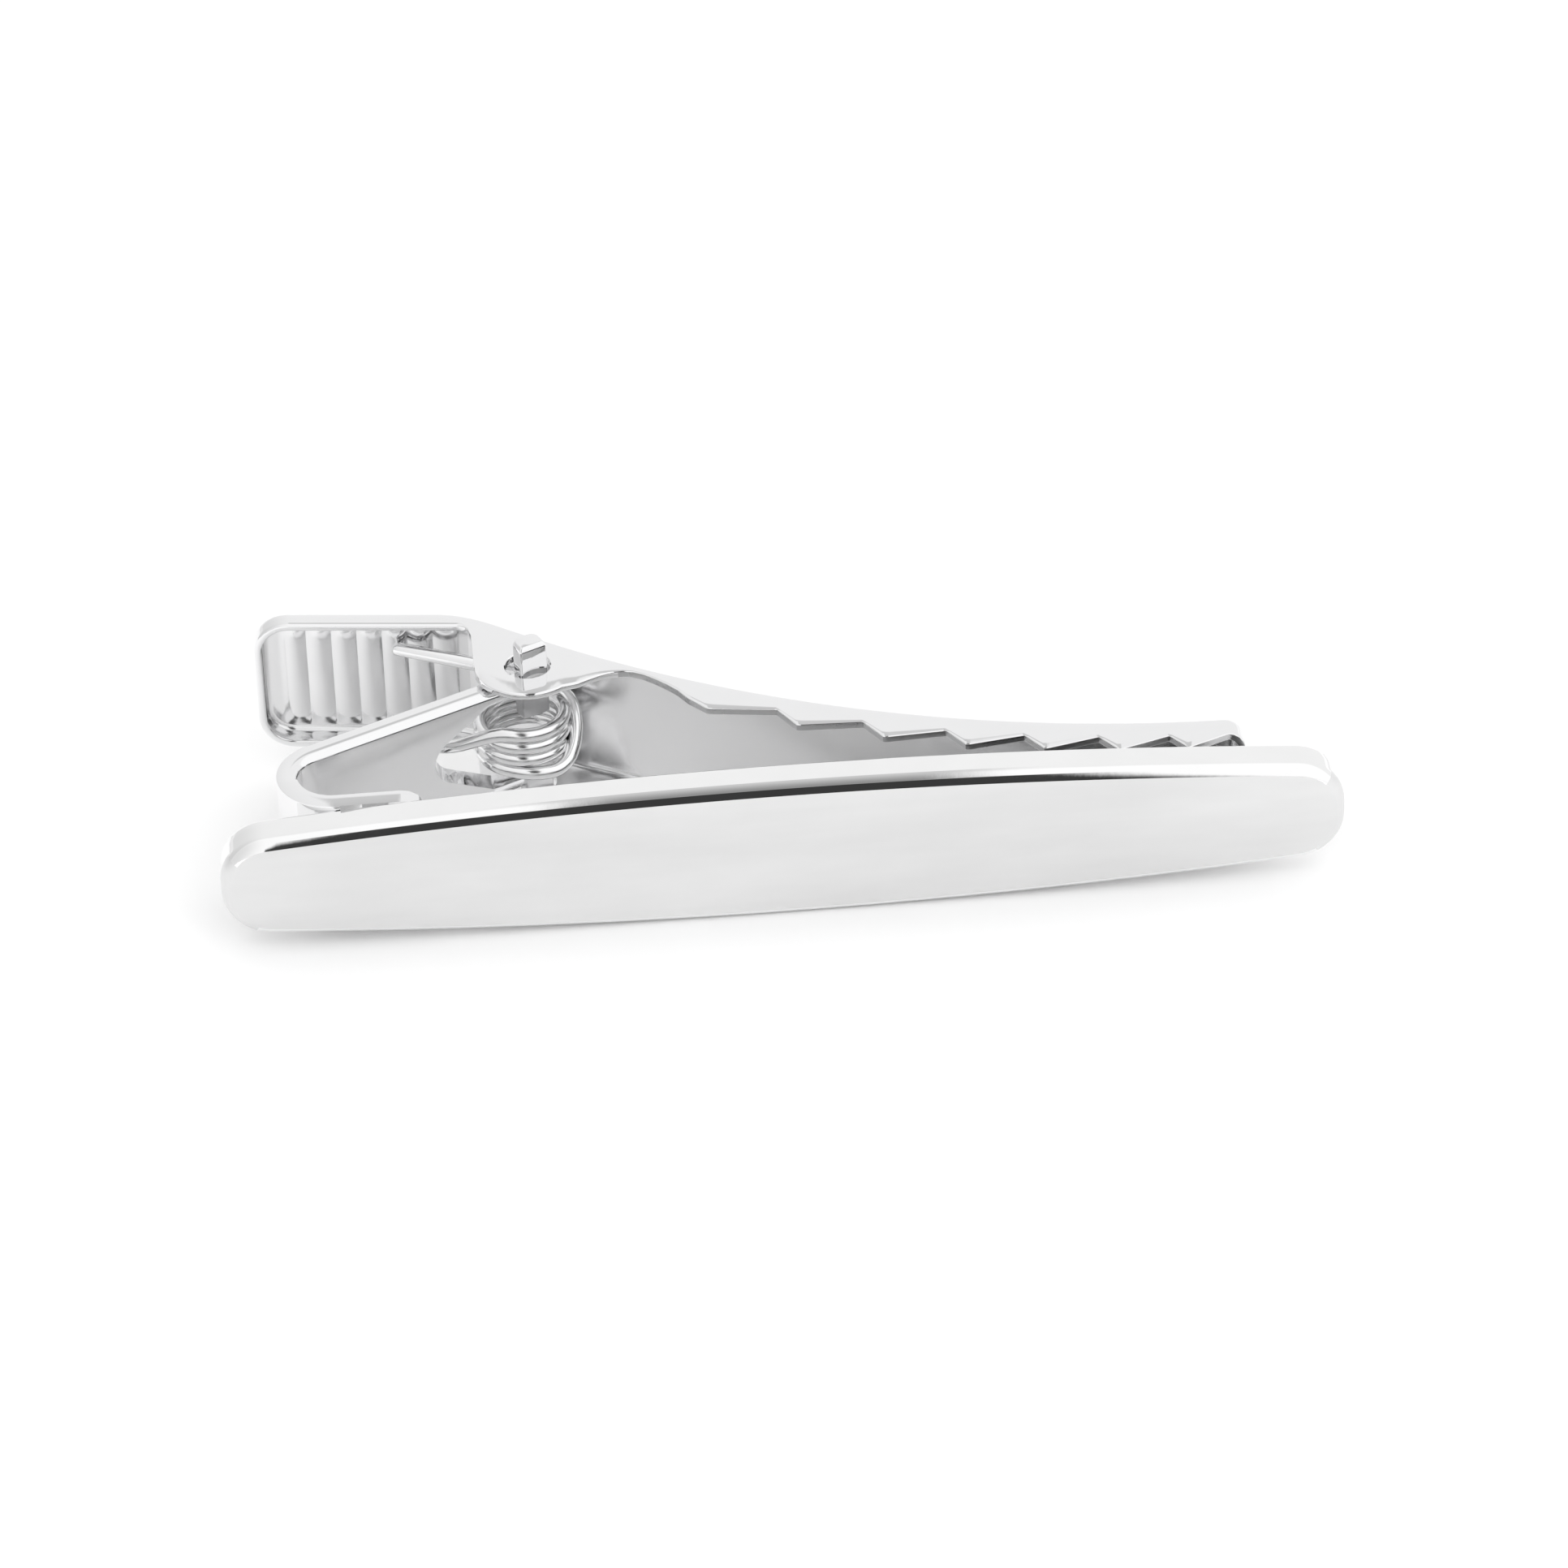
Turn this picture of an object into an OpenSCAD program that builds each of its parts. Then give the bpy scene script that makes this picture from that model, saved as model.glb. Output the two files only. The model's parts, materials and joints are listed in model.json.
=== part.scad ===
// Tie clip: a solid front bar with a sprung, toothed jaw hinged on a bracket behind it.
// Millimetres. X runs along the bar, Y points from the front face to the back, Z is across
// the bar. The origin is the middle of the flat front face.

/* [Front bar] */
// Length of the bar
bar_length = 50; // [46:0.5:56]
// Width of the bar at its middle
bar_width = 7; // [6.8:0.1:8]
// Width of the bar at its ends, before the corners are rounded
bar_end_width = 4.7; // [4.4:0.1:5.6]
// Thickness of the bar
bar_thick = 2; // [1.6:0.1:2.6]
// Width of the polished bevel round the front face
bar_bevel = 0.3; // [0.2:0.05:0.5]
// Corner radius of the bar's ends, seen from the front
bar_corner_r = 1.9; // [1.5:0.1:2.1]

/* [Bracket] */
// Thickness of the solder under the foot
seam_thick = 0.05; // [0.03:0.01:0.1]
// Sheet thickness of the bracket
bracket_sheet = 0.95; // [0.8:0.05:1]
// Width of the bracket across the bar
bracket_width = 5.8; // [5.4:0.1:5.8]
// Inside radius of the U-bend
bend_inner_r = 1.6; // [1.4:0.1:1.8]
// Rise of the arm from the bar
arm_angle = 25.5; // [24:0.5:26]
// Thickness of each trunnion, square to the arm
trunnion_thick = 1.36; // [1.2:0.04:1.4]
// Length of each lug outside the jaw's ear
lug_proud = 1.45; // [1.3:0.05:1.5]

/* [Jaw lever] */
// Sheet thickness of the jaw
jaw_sheet = 0.35; // [0.3:0.05:0.4]
// Width of the jaw over its ears
jaw_width = 6.8; // [6.7:0.1:7]
// Width of the jaw at its nose
nose_width = 5.4; // [5:0.1:5.8]
// Depth of the flange round the thumb tab
tab_flange = 1.3; // [1:0.1:1.5]
// Slope of the thumb tab
tab_angle = 7.2; // [6:0.2:8]
// Radius of each hole in the ears
ear_hole_r = 1.03; // [1:0.01:1.1]
// Number of ribs across the thumb tab
rib_count = 7; // [4:1:7]
// Number of teeth on each edge of the jaw
tooth_count = 7; // [3:1:7]

/* [Spring] */
// Wire diameter
wire_d = 0.64; // [0.5:0.02:0.66]
// Mean radius of the coil
coil_r = 1.9; // [1.86:0.02:1.92]

/* [Hidden] */
fine = 96;
broad = 720;
over = 1;
silver = [0.86, 0.87, 0.88];
seam_grey = [0.7, 0.71, 0.72];
steel = [0.78, 0.79, 0.8];

// bar outline: two wide arcs cut off square, with rounded corners
bar_half = bar_length / 2;
bar_sag = (bar_width - bar_end_width) / 2;
bar_arc_r = (bar_half * bar_half + bar_sag * bar_sag) / (2 * bar_sag);
bar_arc_z = bar_arc_r - bar_width / 2;
corner_x = bar_half - bar_corner_r;
corner_arm = bar_arc_r - bar_corner_r;
corner_z = sqrt(corner_arm * corner_arm - corner_x * corner_x) - bar_arc_z;
corner_lean = asin(corner_x / corner_arm);
edge_steps = 28;
corner_steps = 10;
bevel_step = 30;
sliver = 0.01;

// bracket: foot, U-bend and arm
bend_outer_r = bend_inner_r + bracket_sheet;
bend_x = -19.7;
bend_y = bar_thick + seam_thick + bend_outer_r;
foot_end_x = -15.6;
foot_corner_r = 1.2;
arm_reach = 11.03;
arm_long = arm_reach + 0.55;
bend_steps = 16;
arm_mid = bend_inner_r + bracket_sheet / 2;
trunnion_r = ear_hole_r - 0.09;
trunnion_wide = 1.36;
stub_end = 1;
prong_wide = 0.6;
window_apex = -15.1;
window_r = 1;
window_mouth_x = -12.6;

// hinge axis, on the arm's middle plane
pivot_x = bend_x - sin(arm_angle) * arm_mid + cos(arm_angle) * arm_reach;
pivot_y = bend_y + cos(arm_angle) * arm_mid + sin(arm_angle) * arm_reach;

// jaw: the web follows one wide arc from the nose to the knee, then the straight thumb tab
jaw_half = jaw_width / 2;
nose_half = nose_width / 2;
tooth_depth = 2.42;
gullet_depth = 1.5;
nose_gap = 0.04;
web_r = 52;
web_x = 19.5;
web_y = bar_thick + nose_gap + tooth_depth + web_r;
nose_x = 20.9;
tab_end_x = -22.9;
tab_ref_x = -14.45;
tab_ref_y = bar_thick + 14.2;
knee_r = 3;
end_bend_r = 0.8;
plan_corner_r = 1.6;
nose_corner_r = 0.7;
taper_start_x = -10;
ear_r = 2.3;
ear_left_x = -13.05;
first_tooth_x = -2.9;
tooth_pitch = 4;
pitch_shrink = 0.08;
tooth_drop = 0.75;
// behind every part of the lever
beyond_tab = bar_thick + 24;
rib_pitch = 1.15;
rib_first_x = -21.075;
rib_r = 1.35;
rib_rise = 0.12;
rib_half = 2.5;

// spring: coil centre, heights of the turns and ends of the two legs
coil_x = pivot_x - 0.41;
coil_y = pivot_y - 0.32;
coil_top_z = 1.14;
coil_low_z = -0.92;
leave_angle = -107;
arm_leg_slope = 17;
arm_leg_long = 5;
arm_leg_z = 0.1;
climb_from = -50;
climb_to = 55;
climb_wide = 0.6;
turns_angle = 360 * 3;
tab_leg_z = 1.82;
tab_leg_x = -16.5;
tab_leg_y = tab_ref_y - 0.6;
wire_sides = 10;
coil_steps = 84;
leg_steps = 8;

// ---------- front bar ----------

// lays an XY drawing on the XZ plane and thickens it from y to y + deep
module seen_from_behind(y, deep) {
  translate([0, y + deep, 0])
    rotate([90, 0, 0])
      linear_extrude(deep)
        children();
}

// the bar's upper edge from the right end to the left, moved inwards by a margin
function corner_arc(margin, side) = [
  for (i = [0 : corner_steps])
    let (
      u = side > 0 ? i : corner_steps - i,
      a = (90 - corner_lean) * u / corner_steps,
      r = bar_corner_r - margin
    )
    [side * (corner_x + r * cos(a)), corner_z + r * sin(a)]
];
function long_arc(margin) = [
  for (i = [1 : edge_steps - 1])
    let (a = corner_lean * (1 - 2 * i / edge_steps))
      [(bar_arc_r - margin) * sin(a), (bar_arc_r - margin) * cos(a) - bar_arc_z]
];

// the bar's outline seen from behind, moved inwards by a margin
module bar_outline(margin) {
  upper = concat(corner_arc(margin, 1), long_arc(margin), corner_arc(margin, -1));
  last = len(upper) - 1;
  lower = [for (i = [last : -1 : 0]) [upper[i][0], -upper[i][1]]];
  polygon(concat(upper, lower));
}

module front_bar() {
  color(silver)
    union() {
      seen_from_behind(bar_bevel, bar_thick - bar_bevel)
        bar_outline(0);
      // rounded bevel round the front face
      hull()
        for (a = [0 : bevel_step : 90])
          seen_from_behind(bar_bevel * (1 - sin(a)), sliver)
            bar_outline(bar_bevel * (1 - cos(a)));
    }
}

// ---------- bracket ----------

// the waste outside the foot's two rounded corners, grown by a margin
module foot_corner_waste(grow) {
  r = foot_corner_r + grow;
  for (side = [-1, 1])
    translate([foot_end_x + grow - r, side * (bracket_width / 2 + grow - r)])
      difference() {
        translate([0, side > 0 ? 0 : -r - over])
          square([r + over, r + over]);
        circle(r, $fn = fine);
      }
}

module solder_seam() {
  grow = 0.12;
  half = bracket_width / 2 + grow;
  color(seam_grey)
    seen_from_behind(bar_thick, seam_thick)
      difference() {
        translate([bend_x, -half])
          square([foot_end_x + grow - bend_x, 2 * half]);
        foot_corner_waste(grow);
      }
}

// one side of the U-bend, from the foot round to the arm
function bend_arc(r, turn) = [
  for (i = [0 : bend_steps])
    let (
      u = turn > 0 ? i : bend_steps - i,
      a = 270 - (180 - arm_angle) * u / bend_steps
    )
    [bend_x + r * cos(a), bend_y + r * sin(a)]
];
function arm_end(r) = [
  bend_x - r * sin(arm_angle) + arm_long * cos(arm_angle),
  bend_y + r * cos(arm_angle) + arm_long * sin(arm_angle)
];

// foot, U-bend and arm as one bent strip
module strip() {
  linear_extrude(bracket_width, center = true)
    polygon(concat(
      [[foot_end_x, bend_y - bend_outer_r]],
      bend_arc(bend_outer_r, 1),
      [arm_end(bend_outer_r), arm_end(bend_inner_r)],
      bend_arc(bend_inner_r, -1),
      [[foot_end_x, bend_y - bend_inner_r]]
    ));
}

module window_outline() {
  mouth = bracket_width / 2 - prong_wide;
  hull() {
    translate([window_apex + window_r, 0])
      circle(window_r, $fn = 32);
    translate([window_mouth_x, -mouth])
      square([4, 2 * mouth]);
  }
}

// a trunnion's section: flat sides and a rounded back, running from z0 to z1
module trunnion(z0, z1) {
  translate([pivot_x, pivot_y, z0])
    intersection() {
      cylinder(h = z1 - z0, r = trunnion_r, $fn = fine);
      rotate([0, 0, arm_angle])
        translate([-trunnion_wide / 2, -trunnion_thick / 2, 0])
          cube([trunnion_wide, trunnion_thick, z1 - z0]);
    }
}

module bracket() {
  lug_end = jaw_half + lug_proud;
  color(silver)
    union() {
      difference() {
        strip();
        seen_from_behind(bend_y, 12)
          window_outline();
        seen_from_behind(0, bend_y)
          foot_corner_waste(0);
      }
      trunnion(stub_end, lug_end);
      trunnion(-lug_end, -stub_end);
    }
}

// ---------- jaw lever ----------

function tab_y(x) = tab_ref_y - tan(tab_angle) * (x - tab_ref_x);
function web_arc_y(x) = web_y - sqrt(web_r * web_r - (x - web_x) * (x - web_x));
function half_at(x) =
  jaw_half - (jaw_half - nose_half) * max(0, x - taper_start_x) / (nose_x - taper_start_x);

// centre of the knee that joins the tab's line to the web's arc, found by halving
function tab_drop(t) = t / cos(tab_angle);
function knee_gap(x) =
  norm([x - web_x, tab_y(x) - tab_drop(knee_r) - web_y]) - web_r - knee_r;
function knee_root(a, b, n) =
  n == 0
    ? (a + b) / 2
    : knee_gap((a + b) / 2) > 0
      ? knee_root((a + b) / 2, b, n - 1)
      : knee_root(a, (a + b) / 2, n - 1);
knee_x = knee_root(-18, -8, 24);
knee_y = tab_y(knee_x) - tab_drop(knee_r);
knee_lean = atan2(web_x - knee_x, web_y - knee_y);

// the side outline under the outer face of the web, moved inwards by t
module side_outline(t) {
  r = knee_r - t;
  far = 3 * knee_r;
  end_r = end_bend_r - t;
  left = tab_end_x + t;
  left_y = tab_y(left + end_r) - tab_drop(t + end_r);
  top = tab_drop(t);
  difference() {
    polygon([
      [left, 0],
      [nose_x - t, 0],
      [nose_x - t, bar_thick + 22],
      [knee_x + far, tab_y(knee_x + far) - top],
      [left, tab_y(left) - top]
    ]);
    translate([web_x, web_y])
      circle(web_r + t, $fn = broad);
    // knee between the tab and the web's arc
    difference() {
      translate([knee_x, knee_y])
        polygon([
          [0, 0],
          [far * sin(tab_angle), far * cos(tab_angle)],
          [far, far],
          [far * sin(knee_lean), far * cos(knee_lean)]
        ]);
      translate([knee_x, knee_y])
        circle(r, $fn = fine);
    }
    // bend into the tab's end flange
    difference() {
      translate([left - over, left_y])
        polygon([
          [0, 0],
          [over + end_r, 0],
          [over + end_r + 2 * sin(tab_angle), 2 * cos(tab_angle)],
          [0, 2]
        ]);
      translate([left + end_r, left_y])
        circle(end_r, $fn = fine);
    }
  }
}

// the plan outline seen from behind, moved inwards by t
module plan_outline(t) {
  tab_r = plan_corner_r - t;
  nose_r = nose_corner_r - t;
  side = jaw_half - t;
  tip = nose_half - t;
  hull() {
    for (s = [-1, 1]) {
      translate([tab_end_x + t + tab_r, s * (side - tab_r)])
        circle(tab_r, $fn = 32);
      translate([taper_start_x, s * (side - 0.05)])
        circle(0.05, $fn = 16);
      translate([nose_x - t - nose_r, s * (tip - nose_r)])
        circle(nose_r, $fn = 32);
    }
  }
}

// x of each tooth's point: the pitch shrinks a little towards the nose
function tooth_x(k) = first_tooth_x + tooth_pitch * k - pitch_shrink * k * k;

// everything in front of the flanges' edges: removed from both flanges
module flange_waste() {
  tab_line = tab_drop(tab_flange);
  ear_y = pivot_y - ear_r;
  gullet_x = tooth_x(tooth_count) - tooth_drop;
  difference() {
    polygon(concat(
      [
        [tab_end_x - over, -over],
        [tab_end_x - over, tab_y(tab_end_x - over) - tab_line],
        [ear_left_x - 0.6, tab_y(ear_left_x - 0.6) - tab_line],
        [ear_left_x, tab_y(ear_left_x) - tab_line - 0.5],
        [ear_left_x, pivot_y],
        [pivot_x, pivot_y],
        [pivot_x + 1.9, ear_y + 0.3],
        [-6.5, web_arc_y(-6.5) - 1.25],
        [-5.2, web_arc_y(-5.2) - 1.15]
      ],
      [
        for (k = [0 : tooth_count - 1], edge = [0, 1])
          let (x = tooth_x(k) - (edge == 0 ? (k == 0 ? 1.2 : tooth_drop) : 0))
            [x, web_arc_y(x) - (edge == 0 ? gullet_depth : tooth_depth)]
      ],
      [
        [gullet_x, web_arc_y(gullet_x) - gullet_depth],
        [nose_x + over, web_arc_y(nose_x) - gullet_depth],
        [nose_x + over, -over]
      ]
    ));
    translate([pivot_x, pivot_y])
      circle(ear_r, $fn = fine);
  }
}

// the ribs are pressed towards the bar; lift raises them from the inside of the tab
module tab_ribs(lift, half) {
  for (k = [0 : rib_count - 1]) {
    x = rib_first_x + rib_pitch * k;
    translate([x, tab_y(x) - tab_drop(jaw_sheet) + rib_r - rib_rise + lift, -half])
      cylinder(h = 2 * half, r = rib_r, $fn = fine);
  }
}

// what lies between the bar and the middle of the tab's sheet
module before_tab() {
  low = jaw_sheet / 2;
  linear_extrude(jaw_width + over, center = true)
    polygon([
      [tab_end_x, tab_y(tab_end_x) - low],
      [ear_left_x, tab_y(ear_left_x) - low],
      [ear_left_x, bar_thick],
      [tab_end_x, bar_thick]
    ]);
}

module jaw_shell() {
  wide = jaw_width + over;
  difference() {
    intersection() {
      linear_extrude(wide, center = true)
        side_outline(0);
      seen_from_behind(0, beyond_tab)
        plan_outline(0);
    }
    intersection() {
      linear_extrude(wide, center = true)
        side_outline(jaw_sheet);
      seen_from_behind(-over, beyond_tab + over)
        plan_outline(jaw_sheet);
    }
    linear_extrude(wide, center = true)
      flange_waste();
  }
}

module jaw_lever() {
  color(silver)
    difference() {
      union() {
        jaw_shell();
        intersection() {
          tab_ribs(0, rib_half);
          before_tab();
        }
      }
      // the outside of the tab is grooved behind each rib
      tab_ribs(jaw_sheet, rib_half);
      translate([pivot_x, pivot_y, 0])
        cylinder(h = jaw_width + over, r = ear_hole_r, center = true, $fn = fine);
    }
}

// ---------- torsion spring ----------

function ease(u) = let (v = min(1, max(0, u))) v * v * (3 - 2 * v);
function polar(r, a, z) = [coil_x + r * cos(a), coil_y + r * sin(a), z];

// angle at which the tab leg leaves the coil
tab_leg_dx = tab_leg_x - coil_x;
tab_leg_dy = tab_leg_y - coil_y;
tab_leg_far = norm([tab_leg_dx, tab_leg_dy]);
tab_leg_long = sqrt(tab_leg_far * tab_leg_far - coil_r * coil_r);
arrive_angle = atan2(tab_leg_dy, tab_leg_dx) - acos(coil_r / tab_leg_far) + turns_angle;
coil_sweep = arrive_angle - leave_angle;

// one point of the coil, u from 0 (arm leg) to 1 (tab leg): the last part climbs outside the turns
function coil_point(u) =
  let (
    a = leave_angle + coil_sweep * u,
    last = a - turns_angle,
    down = (a - leave_angle) / (turns_angle + climb_from - leave_angle),
    low = coil_top_z + (coil_low_z - coil_top_z) * min(1, down),
    climb = ease((last - climb_from) / (climb_to - climb_from)),
    bulge = ease((last - climb_from + 30) / 30) * (1 - ease((last - 15) / 30))
  )
  polar(coil_r + climb_wide * bulge, a, low + (tab_leg_z - coil_low_z) * climb);

// straight legs: one to the far face of the bracket's arm, one to the inside of the thumb tab
function arm_leg_point(s) =
  let (p = polar(coil_r, leave_angle, 0))
  [
    p[0] - cos(arm_leg_slope) * s,
    p[1] + sin(arm_leg_slope) * s,
    coil_top_z + (arm_leg_z - coil_top_z) * ease(s / 3.4)
  ];
function tab_leg_point(s) =
  let (p = polar(coil_r, arrive_angle, tab_leg_z))
  [p[0] - sin(arrive_angle) * s, p[1] + cos(arrive_angle) * s, tab_leg_z];

wire_path = concat(
  [for (i = [leg_steps : -1 : 1]) arm_leg_point(arm_leg_long * i / leg_steps)],
  [for (i = [0 : coil_steps]) coil_point(i / coil_steps)],
  [tab_leg_point(tab_leg_long / 2), tab_leg_point(tab_leg_long)]
);

function unit(v) = v / norm(v);
function along(i) =
  let (n = len(wire_path) - 1)
  unit(wire_path[min(n, i + 1)] - wire_path[max(0, i - 1)]);
function ring(i) =
  let (
    t = along(i),
    side = unit(cross([0, 0, 1], t)),
    up = cross(t, side)
  )
  [
    for (k = [0 : wire_sides - 1])
      wire_path[i] + wire_d / 2 * (cos(360 * k / wire_sides) * side + sin(360 * k / wire_sides) * up)
  ];

module torsion_spring() {
  n = len(wire_path);
  m = wire_sides;
  color(steel)
    polyhedron(
      points = [for (i = [0 : n - 1]) each ring(i)],
      faces = concat(
        [[for (k = [0 : m - 1]) k]],
        [
          for (i = [0 : n - 2], k = [0 : m - 1])
            [i * m + k, (i + 1) * m + k, (i + 1) * m + (k + 1) % m, i * m + (k + 1) % m]
        ],
        [[for (k = [m - 1 : -1 : 0]) (n - 1) * m + k]]
      )
    );
}

front_bar();
solder_seam();
bracket();
jaw_lever();
torsion_spring();
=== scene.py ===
"""Looks of the tie clip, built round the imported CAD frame.

Shapes are drawn in millimetres and scaled to metres. The clip lies on its lower long edge: x runs
along it, y from the satin face to the back, z upwards.
"""

import bisect
import json
import math

import bmesh
import bpy
from mathutils import Matrix, Vector


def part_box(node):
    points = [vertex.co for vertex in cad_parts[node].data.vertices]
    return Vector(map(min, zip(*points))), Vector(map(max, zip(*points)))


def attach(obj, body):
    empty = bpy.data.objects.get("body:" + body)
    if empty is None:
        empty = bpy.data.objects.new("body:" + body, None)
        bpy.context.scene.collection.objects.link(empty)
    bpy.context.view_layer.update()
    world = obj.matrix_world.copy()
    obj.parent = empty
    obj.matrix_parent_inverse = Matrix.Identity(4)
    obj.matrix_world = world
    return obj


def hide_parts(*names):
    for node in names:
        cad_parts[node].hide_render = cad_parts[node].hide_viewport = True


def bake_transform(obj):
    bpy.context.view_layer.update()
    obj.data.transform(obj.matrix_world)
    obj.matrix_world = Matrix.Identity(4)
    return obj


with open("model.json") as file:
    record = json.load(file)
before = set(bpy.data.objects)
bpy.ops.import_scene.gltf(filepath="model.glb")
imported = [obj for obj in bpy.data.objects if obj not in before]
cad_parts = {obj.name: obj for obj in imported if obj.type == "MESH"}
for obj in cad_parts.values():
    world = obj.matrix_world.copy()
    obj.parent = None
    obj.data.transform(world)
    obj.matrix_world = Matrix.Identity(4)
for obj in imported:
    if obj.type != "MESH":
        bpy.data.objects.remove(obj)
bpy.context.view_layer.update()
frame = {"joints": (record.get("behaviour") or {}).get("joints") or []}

MM = 0.001
BAR = "bar"
JAW = "jaw"

# ---------------------------------------------------------------- sizes taken from the frame


def size_mm(node):
    """The lowest and the highest corner of a CAD node's box."""
    low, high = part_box(node)
    return [v / MM for v in low], [v / MM for v in high]


BAR_HALF, BAR_THICK, BAR_TOP = size_mm("front_bar")[1]
bracket_low, bracket_high = size_mm("bracket")
PIVOT_X, PIVOT_Y = (v / MM for v in frame["joints"][0]["pos_m"][:2])

# ---------------------------------------------------------------- sizes read off the photograph

# all in millimetres; front bar
BAR_END = 2.35  # half height at the ends
BAR_CORNER = 2.25
SAG = BAR_TOP - BAR_END
BAR_ARC = (BAR_HALF**2 + SAG**2) / (2 * SAG)  # radius of the long edges
BEVEL_R = 0.66
BEVEL_START = math.radians(22)  # where the round bevel meets the satin face
BEVEL = BEVEL_R * (1 - math.sin(BEVEL_START))  # its width in plan
CROWN = 0.13  # how far the satin face falls away at its edges
CROWN_END = 3.5  # length over which it falls away towards the ends
BACK_EDGE = ((0.14, 0.0), (0.06, 0.02), (0.015, 0.07), (0.0, 0.15))  # inset and depth
SIDE_RINGS = (1.5, 1.1)  # y of the rings on the upright sides

# bracket: one bent strip
SHEET = 0.95
SEAM = 0.05
BEND_R = 1.6  # inside radius of the U-bend
BEND_X = -19.7
BEND_Y = BAR_THICK + SEAM + BEND_R + SHEET
ARM_ANGLE = math.radians(25.5)
ARM_LONG = 11.58
BRACKET_HALF = 2.9
FOOT_END = -15.6
FOOT_CORNER = 1.2
FOOT_RINGS = (0, 0.4, 0.8, 1.2, 1.9, 2.6, 3.3)  # distances from the foot's end
BEND_STEPS = 34
ARM_STEPS = 46
COIN = 0.3  # width of the coined edge
COIN_FROM = 0.52  # where in the U-bend it begins, as a share
EDGE = 0.06  # rounding of the strip's other edges

# solder fillet: (reach beyond the foot, height above the bar's back)
FILLET = ((0.0, 0.1), (0.01, 0.07), (0.025, 0.04), (0.045, 0.02), (0.065, 0.006), (0.07, -0.002))

# window in the bracket's arm, open towards the two prongs
WINDOW_APEX = -15.1
WINDOW_R = 1.25
PRONG = 0.6
PRONG_FROM = -12.7
PRONG_TO = -8.0

# trunnions, across the arm's direction
TRUNNION_HALF = 0.68
TRUNNION_BACK = 0.34
STUB_INNER = 1.0

# jaw lever: a web with a flange all round
TAB_END = -22.9
NOSE_X = 20.9
JAW_HALF = 3.4
NOSE_HALF = 2.7
TAPER_FROM = -10
JAW_SHEET = 0.35
WEB_R = 52.0
WEB_X = 19.5
WEB_Y = BAR_THICK + 2.46 + WEB_R
TAB_SLOPE = math.tan(math.radians(7.2))
TAB_REF = (-14.45, BAR_THICK + 14.2)
TAB_FLANGE = 1.3
KNEE = 0.9  # softness of the knee between the tab and the web
JAW_BEND = 0.62
INSIDE_BEND = JAW_BEND - JAW_SHEET + 0.05
TAB_CORNER = 1.6
NOSE_CORNER = 0.9
EAR_R = 2.3
EAR_LEFT = -13.05
HOLE_R = 1.03
HOLE_RIM = 0.045
# (x, y) of the flange's edge between the ear and the first tooth
SCALLOP = (
    (-8.45, 9.62),
    (-7.95, 9.9),
    (-7.4, 10.16),
    (-6.9, 10.29),
    (-6.4, 10.32),
    (-5.95, 10.24),
    (-5.5, 10.0),
    (-5.0, 9.6),
    (-4.5, 9.12),
    (-4.05, 8.6),
)
TOOTH_COUNT = 7
TOOTH_FIRST = -2.9
TOOTH_PITCH = 4.0
TOOTH_CLOSING = 0.08  # the pitch gets shorter towards the nose
TOOTH_TIP = 2.42  # depth below the web
TIP_FLAT, TIP_END = 0.16, 2.41  # length of the flat on the tip, and depth at its end
TOOTH_BACK, TOOTH_ROOT = 0.78, 1.48  # how far the root lies before the tip, and its depth
FIRST_BACK, FIRST_ROOT = 0.75, 1.95
RIB_PITCH = 1.15
RIB_START = -21.65
RIB_END = RIB_START + 7 * RIB_PITCH
RIB_RISE = 0.17
RIB_HALF = 2.8
RIB_FADE = 0.55
SHEARED_FROM = -6.5  # from here to the nose the flange's edge is sheared and dull
LIP = 0.11  # radius of the flange's edge
LIP_CUT = 0.065  # how much smaller it is on the teeth
LIP_FADE = 1.5

# spring
WIRE = 0.64
COIL_R = 1.9
COIL_X = PIVOT_X - 0.41
COIL_Y = PIVOT_Y - 0.32
ARM_LEG = 5.0
LEG_SLOPE = math.radians(17)
TAB_LEG = (-16.5, TAB_REF[1] - 0.6, 1.82)  # end of the leg on the tab
LEAVE = math.radians(-107)  # where the coil starts at the arm's leg
TURNS = 6 * math.pi
TOP_Z = 1.14
LOW_Z = -0.92
# the last half turn climbs outside the others; its angles run from the last full turn
CLIMB_FROM = math.radians(-55)
CLIMB_TO = math.radians(60)
BULGE_FROM = math.radians(-115)
BULGE_FULL = math.radians(-30)
BULGE_UNTIL, BULGE_FADE = 0.26, 0.52  # radians
CLIMB_WIDE = 0.52  # how far outside the other turns


def smooth(u):
    u = min(1.0, max(0.0, u))
    return u * u * (3 - 2 * u)


# ---------------------------------------------------------------- mesh helpers


def shade_smooth(bm, sharp=None):
    """Smooth faces. Edges sharper than this many degrees stay crisp."""
    for f in bm.faces:
        f.smooth = True
    if sharp is None:
        return
    for e in bm.edges:
        if len(e.link_faces) == 2 and e.calc_face_angle() > math.radians(sharp):
            e.smooth = False


def make_object(name, grid, mats, sharp=None):
    """A mesh object from a grid in millimetres."""
    mesh = bpy.data.meshes.new(name)
    mesh.from_pydata([(x * MM, y * MM, z * MM) for x, y, z in grid.verts], [], grid.faces)
    for m in mats:
        mesh.materials.append(m)
    mesh.polygons.foreach_set("material_index", grid.mats)
    mesh.validate()
    bm = bmesh.new()
    bm.from_mesh(mesh)
    bmesh.ops.remove_doubles(bm, verts=bm.verts, dist=1e-7)
    bmesh.ops.recalc_face_normals(bm, faces=bm.faces)
    shade_smooth(bm, sharp)
    bm.to_mesh(mesh)
    bm.free()
    obj = bpy.data.objects.new(name, mesh)
    bpy.context.scene.collection.objects.link(obj)
    return obj


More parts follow.
